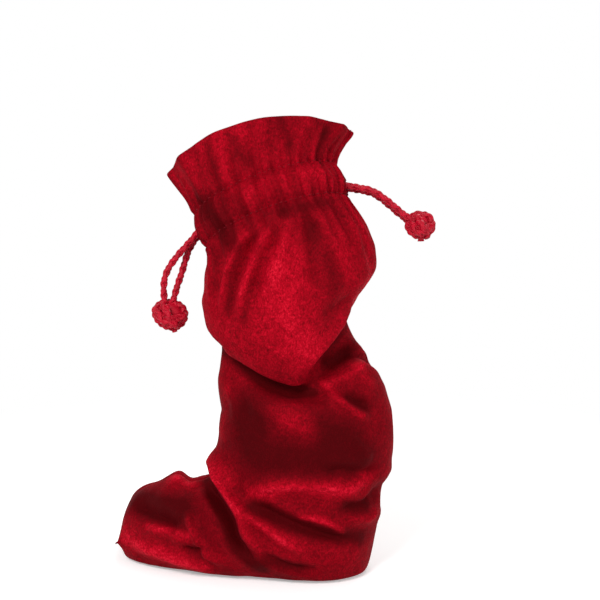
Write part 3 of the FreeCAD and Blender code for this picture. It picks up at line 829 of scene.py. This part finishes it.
ASLANT = (0.0, 0.31, 0.95)  # a direction that no line here starts along


def frames_along(points, closed=False):
    """Two directions across a line at each point, that turn as little as they can."""
    if closed:
        ahead = np.roll(points, -1, axis=0) - np.roll(points, 1, axis=0)
    else:
        ahead = np.gradient(points, axis=0)
    ahead = unit(ahead)
    across = np.zeros_like(points)
    across[0] = unit(np.cross(ahead[0], ASLANT))
    for count in range(1, len(points)):
        last = across[count - 1]
        across[count] = unit(last - ahead[count] * (last @ ahead[count]))
    return across, np.cross(ahead, across)


def tube_parts(points, wide, high=None, sides=6, closed=False, across=None, over=None):
    """Points and faces of a tube; its section is an oval, wide and high being half sizes."""
    if across is None:
        across, over = frames_along(points, closed)
    high = wide if high is None else high
    turns = np.arange(sides) * 2 * math.pi / sides
    flat = across[:, None] * np.cos(turns)[:, None] * wide
    rings = points[:, None] + flat + over[:, None] * np.sin(turns)[:, None] * high
    return rings.reshape(-1, 3), tube_faces(len(points), sides, closed)


def joined(name, parts, material):
    """One piece out of several sets of points and faces, in millimetres."""
    points, faces, base = [], [], 0
    for part_points, part_faces in parts:
        points.append(part_points)
        faces += [[base + corner for corner in face] for face in part_faces]
        base += len(part_points)
    mesh = bpy.data.meshes.new(name)
    mesh.from_pydata((np.vstack(points) * MM).tolist(), [], faces)
    mesh.polygons.foreach_set("use_smooth", [True] * len(mesh.polygons))
    mesh.materials.append(material)
    mesh.update()
    return into_scene(name, mesh)


CORD = 4.2
BRAID_PITCH = 15.0  # along the cord, for one turn of a strand
BRAID_MIDDLE, BRAID_WAVE = 1.2, 0.34  # how far the strands run from the middle, and weave in and out
STRAND_WIDE, STRAND_HIGH = 1.28, 0.84  # half sizes of a strand
BRAID_STEP = 0.42  # between points along a strand


def resampled(points, step, closed=False):
    """The same line with even steps."""
    if closed:
        points = np.vstack([points, points[:1]])
    places = np.concatenate([[0], np.cumsum(np.linalg.norm(np.diff(points, axis=0), axis=1))])
    count = max(int(round(places[-1] / step)), 8)
    wanted = np.linspace(0, places[-1], count + 1)
    line = np.stack([np.interp(wanted, places, points[:, k]) for k in range(3)], axis=1)
    return (line[:-1] if closed else line), places[-1]


def braid_parts(points, closed=False, scale=1.0):
    """Four strands plaited round a line: two turn one way and two the other, over one and under one."""
    line, length = resampled(points, BRAID_STEP, closed)
    across, over = frames_along(line, closed)
    turns = max(1, round(length / BRAID_PITCH)) if closed else length / BRAID_PITCH
    count = len(line)
    share = np.arange(count) / (count if closed else count - 1)
    if closed:
        # The frames come back turned a little: the difference is spread along the ring.
        ahead = unit(line[0] - line[-1])
        back = across[-1] - ahead * (across[-1] @ ahead)
        slip = math.atan2(back @ over[0], back @ across[0])
    else:
        slip = 0.0
    parts = []
    for way in (1, -1):
        for strand in range(2):
            start = math.pi * strand + math.pi / 2 * (way < 0)
            angle = start + way * 2 * math.pi * turns * share - slip * share
            wave = way * np.sin(4 * math.pi * turns * share)
            out = across * np.cos(angle)[:, None] + over * np.sin(angle)[:, None]
            side = -across * np.sin(angle)[:, None] + over * np.cos(angle)[:, None]
            middle = line + out * (scale * (BRAID_MIDDLE + BRAID_WAVE * wave))[:, None]
            oval = STRAND_WIDE * scale, STRAND_HIGH * scale
            parts.append(tube_parts(middle, *oval, 10, closed, across=side, over=out))
    parts.append(tube_parts(line, BRAID_MIDDLE * scale, None, 8, closed, across=across, over=over))
    return parts


# The free ends' routes, the same as in the CAD source: each starts at its exit and ends at its knot.
LEGS = {
    "left_front": [
        (-64.9, -2.6, 216.9), (-69.3, -3.9, 211.6), (-77.0, -4.5, 203.5),
        (-84.0, -4.2, 193.5), (-86.0, -3.5, 182.5), (-84.9, -2.6, 173.0),
    ],
    "left_back": [
        (-64.3, 1.8, 215.2), (-68.1, 0.6, 210.7), (-71.3, 0.6, 203.2),
        (-74.2, 0.4, 193.0), (-78.0, -0.2, 182.5), (-80.2, -0.6, 174.0),
    ],
    "right_front": [
        (30.6, -4.3, 247.1), (38.4, -5.8, 246.0), (46.0, -6.2, 244.2),
        (56.0, -6.0, 236.8), (62.5, -5.4, 230.9), (68.3, -4.9, 226.9),
    ],
    "right_back": [
        (31.2, 0.1, 245.4), (39.0, -1.4, 244.3), (46.8, -1.6, 242.2),
        (56.4, -1.4, 234.6), (62.9, -0.9, 228.7), (68.6, -0.4, 224.8),
    ],
}
IN_KNOT = 3.0  # how far a cord runs on inside its knot
LEG_STEP = 0.5  # between points along a free end


def spline_points(name, route):
    """The smooth line that a cord follows: a NURBS spline with the route as its control points."""
    curve = bpy.data.curves.new(name, "CURVE")
    curve.dimensions = "3D"
    curve.resolution_u = 32
    spline = curve.splines.new("NURBS")
    spline.points.add(len(route) - 1)
    for point, place in zip(spline.points, route):
        point.co = (*(Vector(place) * MM), 1.0)
    spline.order_u = 3
    spline.use_endpoint_u = True
    carrier = into_scene(name, curve)
    points = np.array([vertex.co for vertex in evaluated_mesh(carrier).vertices]) / MM
    bpy.data.objects.remove(carrier)
    return points


def make_leg(name):
    """One free end of a cord, plaited, from the sack to its knot."""
    line = spline_points(f"{name}_line", LEGS[name])
    line, length = resampled(line, LEG_STEP)
    inward, outward = unit(line[-1] - line[-2]), unit(line[0] - line[1])
    drawn = np.vstack([line[0] + outward * CORD / 2, line, line[-1] + inward * IN_KNOT])
    piece = joined(f"{name}_cord", braid_parts(drawn), made_of(cord))
    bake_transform(piece)
    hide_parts(f"{name}_leg")


# The turns of cord in a knot: the axis and angle that tilt each, and its share of the knot's width
# and height.
KNOT_TURNS = [
    ((1, 0, 0), 74, (1.0, 0.98)),
    ((1, 0.3, 0), 8, (1.0, 0.86)),
    ((0, 1, 0.2), 66, (0.84, 1.0)),
    ((1, 1, 0), 44, (0.94, 0.98)),
]
KNOT_CORD = 1.2  # how much the plait swells where it is bent round in a knot
KNOT_DEEP = 17.0
TURN_SWELL = 0.09  # how much a turn of cord is wider and narrower along its way
CORE_SHARE = 1.1  # the core that fills the knot, as a share of the room inside the turns
TIP, TIP_FROM, TIP_SCALE = 2.6, 2.0, 0.98  # how far a tip sticks out, where it starts, its thickness
TURN_POINTS, TIP_POINTS, CORE_SIDES, CORE_ROWS = 120, 12, 20, 16
# Each knot's middle, its size, how much narrower its foot is than its top, how far the foot is
# aside, and where the tips point.
KNOTS_AT = {
    "left": {
        "at": (-81.9, -1.7, 166.2), "size": (24.8, 22.4), "taper": 0.34, "aside": 3.4,
        "tips": [((0, 1, 0), -72), ((1, 1, 0), 165)],
    },
    "right": {
        "at": (74.8, -2.8, 222.9), "size": (18.6, 20.0), "taper": 0.06, "aside": 0.0,
        "tips": [((0, 1, 0), 176), ((1, 1, 0), 140)],
    },
}


def make_knot(side):
    """Two cords' ends tied in a ball of crossing turns, with two short tips."""
    facts = KNOTS_AT[side]
    at, (wide, high) = np.array(facts["at"]), facts["size"]
    thick = CORD / 2 * KNOT_CORD

    def shaped(points):
        low = np.clip(0.5 - points[:, 2:] / high, 0, 1)
        drawn = points * (1 - facts["taper"] * low * [1, 1, 0]) + facts["aside"] * low * [1, 0, 0]
        return at + drawn - [facts["aside"] / 2, 0, 0]

    phi = np.linspace(0, 2 * math.pi, TURN_POINTS, endpoint=False)
    parts = []
    for count, (axis, angle, (wide_share, high_share)) in enumerate(KNOT_TURNS):
        swell = 1 + TURN_SWELL * np.cos(2 * phi + 1.3 * count)
        flat = np.stack(
            [
                (wide * wide_share / 2 - thick) * swell * np.cos(phi),
                (high * high_share / 2 - thick) * swell * np.sin(phi),
                0.5 * np.sin(2 * phi + count),
            ],
            axis=1,
        )
        parts += braid_parts(shaped(flat @ turned_about(axis, angle).T), closed=True, scale=KNOT_CORD)
    for axis, angle in facts["tips"]:
        out = turned_about(axis, angle) @ np.array([0, 0, 1.0])
        reach = high / 2 - thick + TIP
        line = np.linspace(TIP_FROM, reach, TIP_POINTS)[:, None] * out
        parts += braid_parts(shaped(line), scale=TIP_SCALE)
    heights = np.linspace(-1, 1, CORE_ROWS)[:, None]
    spans = np.sqrt(np.maximum(1 - heights**2, 0.01))
    around = np.linspace(0, 2 * math.pi, CORE_SIDES, endpoint=False)
    core = np.stack(
        [
            (wide / 2 - CORD) * CORE_SHARE * spans * np.cos(around),
            (KNOT_DEEP / 2 - CORD) * CORE_SHARE * spans * np.sin(around),
            (high / 2 - CORD) * CORE_SHARE * heights + 0 * around,
        ],
        axis=-1,
    )
    parts.append((shaped(core.reshape(-1, 3)), tube_faces(CORE_ROWS, CORE_SIDES)))
    piece = joined(f"{side}_knot_cord", parts, made_of(cord))
    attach(piece, f"{side}_knot")
    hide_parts(f"{side}_knot")
    return piece


# ---------------- stitches

THREAD = 0.34  # half its thickness
STITCHES = 92
STITCH_SHARE = 0.68  # of each stitch's length that shows
STITCH_POINTS = 7
STITCH_LIFT, STITCH_DIVE = 0.06, 1.3  # how far its middle lies over the cloth, and its ends dive
TACK_FROM_GAP, TACK_HALF, TACK_SUNK = 0.9, 3.2, 0.2  # how far past the gap, half its length, depth
TACK_POINTS = 15
COIL_OUT, COIL_HALF, COIL_PITCH, COIL_STEP = 0.4, 0.18, 0.55, 0.06  # the thread wound round a tack


def cloth_at(row, columns):
    """Points of the cloth and the way out of it, at a fractional row and fractional columns."""
    low, share = int(row), row - int(row)
    return [
        between(grid[low], columns) * (1 - share) + between(grid[low + 1], columns) * share
        for grid in (OUTSIDE, OUT)
    ]


def make_stitch_row(which):
    """The upper or the lower row of running stitches, sunk in the pleats."""
    row = np.interp(AT[f"{which}_row"], LENGTHS, np.arange(len(LENGTHS)))
    parts = []
    for count in range(STITCHES):
        share = np.linspace(-0.5, 0.5, STITCH_POINTS)
        columns = (count + 0.5 + share * STITCH_SHARE) / STITCHES * AROUND
        points, out = cloth_at(row, columns)
        lift = STITCH_LIFT - STITCH_DIVE * np.abs(share * 2) ** 3
        parts.append(tube_parts(points + out * lift[:, None], THREAD, sides=6))
    piece = joined(f"{which}_stitches", parts, made_of(thread))
    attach(piece, SACK)
    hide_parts(f"{which}_stitch_row")


def make_tacks(side):
    """A short bar of wound thread at each end of the gap that the cords leave through."""
    column = AROUND // 2 if side == "left" else 0
    heights = IN_CASING[:, column, 2]
    lowest = int(np.searchsorted(LENGTHS, AT["shoulder"]))
    parts = []
    for up in (-1, 1):
        goal = GAP_MIDDLE[side] + up * (GAP_HIGH / 2 + TACK_FROM_GAP)
        row = lowest + int(np.argmin(np.abs(heights[lowest:] - goal)))
        along = np.linspace(-TACK_HALF, TACK_HALF, TACK_POINTS)
        points, out = cloth_at(row, column + columns_in(along, CASING_DEEP))
        line = points - out * TACK_SUNK
        parts.append(tube_parts(line, THREAD, sides=8))
        fine, length = resampled(line, COIL_STEP)
        sideways, over = frames_along(fine)
        winding = np.linspace(0, 2 * math.pi * length / COIL_PITCH, len(fine))[:, None]
        coil = sideways * np.cos(winding) + over * np.sin(winding)
        parts.append(tube_parts(fine + COIL_OUT * coil, COIL_HALF, sides=5))
    piece = joined(f"{side}_tacks", parts, made_of(thread))
    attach(piece, SACK)
    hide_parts(f"{side}_exit_tacks")


# ---------------- materials

MADE = {}


def made_of(build):
    """The material that a function builds, under the function's name."""
    name = build.__name__
    if name not in MADE:
        MADE[name] = bpy.data.materials.new(name)
        MADE[name].use_nodes = True
        tree = MADE[name].node_tree
        build(tree, tree.nodes["Principled BSDF"])
    return MADE[name]


def noise(tree, scale, detail, roughness, distortion=0.0, stretch=(1, 1, 1)):
    """Noise over the piece's own coordinates."""
    place = tree.nodes.new("ShaderNodeTexCoord")
    mapping = tree.nodes.new("ShaderNodeMapping")
    put(mapping, {"Scale": stretch})
    tree.links.new(place.outputs["Object"], mapping.inputs["Vector"])
    texture = tree.nodes.new("ShaderNodeTexNoise")
    put(texture, {"Scale": scale, "Detail": detail, "Roughness": roughness, "Distortion": distortion})
    tree.links.new(mapping.outputs["Vector"], texture.inputs["Vector"])
    return texture.outputs["Fac"]


def coloured(tree, shader, value, stops):
    """Gives a shader its colour: a ramp's, read at the value."""
    node = tree.nodes.new("ShaderNodeValToRGB")
    while len(node.color_ramp.elements) < len(stops):
        node.color_ramp.elements.new(0.5)
    for element, (place, colour) in zip(node.color_ramp.elements, stops):
        element.position = place
        element.color = (*colour, 1)
    tree.links.new(value, node.inputs["Fac"])
    tree.links.new(node.outputs["Color"], shader.inputs["Base Color"])


def bump(tree, shader, layers):
    """Adds bumps, each a value, a strength and a depth in metres."""
    last = None
    for value, strength, depth in layers:
        node = tree.nodes.new("ShaderNodeBump")
        put(node, {"Strength": strength, "Distance": depth})
        tree.links.new(value, node.inputs["Height"])
        if last is not None:
            tree.links.new(last, node.inputs["Normal"])
        last = node.outputs["Normal"]
    tree.links.new(last, shader.inputs["Normal"])


def velvet(tree, shader):
    """Crushed velvet, painted dark or bright by its attribute of pile and painted shade and highlights,
    and the more mottled the brighter it lies.
    """
    # The attribute holds the pile's crush and the painted shade and highlights of the folds.
    pile_and_light = tree.nodes.new("ShaderNodeAttribute")
    pile_and_light.attribute_name = "pile_and_painted_light"
    crushed = noise(tree, 300, 4, 0.6, 1.0)
    flecks = noise(tree, 1150, 3, 0.7, 0.5, (1, 1, 0.6))
    mottled = maths(tree, "SUBTRACT", crushed, 0.5)
    flecked = maths(tree, "MULTIPLY", maths(tree, "SUBTRACT", flecks, 0.5), 1.5)
    liveliness = maths(tree, "ADD", maths(tree, "MULTIPLY", pile_and_light.outputs["Fac"], 0.9), 0.25)
    grain = maths(tree, "MULTIPLY", maths(tree, "ADD", mottled, flecked), liveliness)
    value = maths(tree, "ADD", pile_and_light.outputs["Fac"], grain)
    stops = [
        (0.0, (0.065, 0.0001, 0.0014)), (0.25, (0.13, 0.0002, 0.0032)), (0.5, (0.25, 0.0005, 0.006)),
        (0.75, (0.43, 0.0012, 0.012)), (1.0, (0.64, 0.01, 0.03)),
    ]
    coloured(tree, shader, value, stops)
    put(shader, {"Roughness": 0.75, "Specular IOR Level": 0.04})
    put(shader, {"Sheen Weight": 0.1, "Sheen Roughness": 0.35, "Sheen Tint": (1.0, 0.02, 0.06, 1)})
    bump(tree, shader, [(crushed, 0.4, 0.0008), (flecks, 0.5, 0.0004)])


def velvet_backing(tree, shader):
    """The knitted back of the velvet."""
    fine = noise(tree, 900, 2, 0.6, 0.0, (1, 1, 0.3))
    stops = [(0.3, (0.16, 0.004, 0.014)), (0.7, (0.27, 0.008, 0.024))]
    coloured(tree, shader, fine, stops)
    put(shader, {"Roughness": 0.9, "Specular IOR Level": 0.1})
    bump(tree, shader, [(fine, 0.4, 0.0003)])


def cord(tree, shader):
    """Satin yarn."""
    broad = noise(tree, 260, 3, 0.5)
    fibre = noise(tree, 2600, 2, 0.6, 0.0, (1, 1, 0.35))
    shares = maths(tree, "MULTIPLY", broad, 0.6), maths(tree, "MULTIPLY", fibre, 0.4)
    value = maths(tree, "ADD", *shares)
    stops = [(0.3, (0.24, 0.0005, 0.008)), (0.52, (0.43, 0.001, 0.016)), (0.75, (0.6, 0.004, 0.03))]
    coloured(tree, shader, value, stops)
    put(shader, {"Roughness": 0.5, "Specular IOR Level": 0.18})
    put(shader, {"Sheen Weight": 0.06, "Sheen Tint": (1.0, 0.1, 0.15, 1)})
    bump(tree, shader, [(fibre, 0.3, 0.0002)])


def thread(tree, shader):
    """Sewing thread, a shade darker than the velvet."""
    fibre = noise(tree, 3000, 2, 0.6)
    stops = [(0.3, (0.14, 0.0005, 0.004)), (0.7, (0.23, 0.001, 0.008))]
    coloured(tree, shader, fibre, stops)
    put(shader, {"Roughness": 0.6, "Specular IOR Level": 0.15})
    bump(tree, shader, [(fibre, 0.3, 0.0002)])


# ---------------- the whole

make_camera()
for side_name in ("left", "right"):
    tied = make_knot(side_name)
    make_leg(f"{side_name}_front")
    make_leg(f"{side_name}_back")
    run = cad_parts[f"{side_name}_drawcord_run"]
    run.data.materials.clear()
    run.data.materials.append(made_of(cord))

velvet_sheet("front", ["front_panel", "front_facing", "bottom_seam"])
velvet_sheet("back", ["back_panel", "back_facing"])
FIRST_IN_TAIL = int(np.searchsorted(LENGTHS, AT["toe"]))
FIRST_OVER_HEEL = int(np.searchsorted(LENGTHS, AT["ankle"]))
LAST_IN_POUCH = int(np.searchsorted(LENGTHS, AT["lower_row"] - 3))
seam_allowance("left_seam_allowance", AROUND // 2, FIRST_IN_TAIL, LAST_IN_POUCH, "left_side_seam")
seam_allowance("right_seam_allowance", 0, FIRST_OVER_HEEL, LAST_IN_POUCH, "right_side_seam")
make_stitch_row("upper")
make_stitch_row("lower")
make_tacks("left")
make_tacks("right")
make_stage()

bpy.context.view_layer.update()
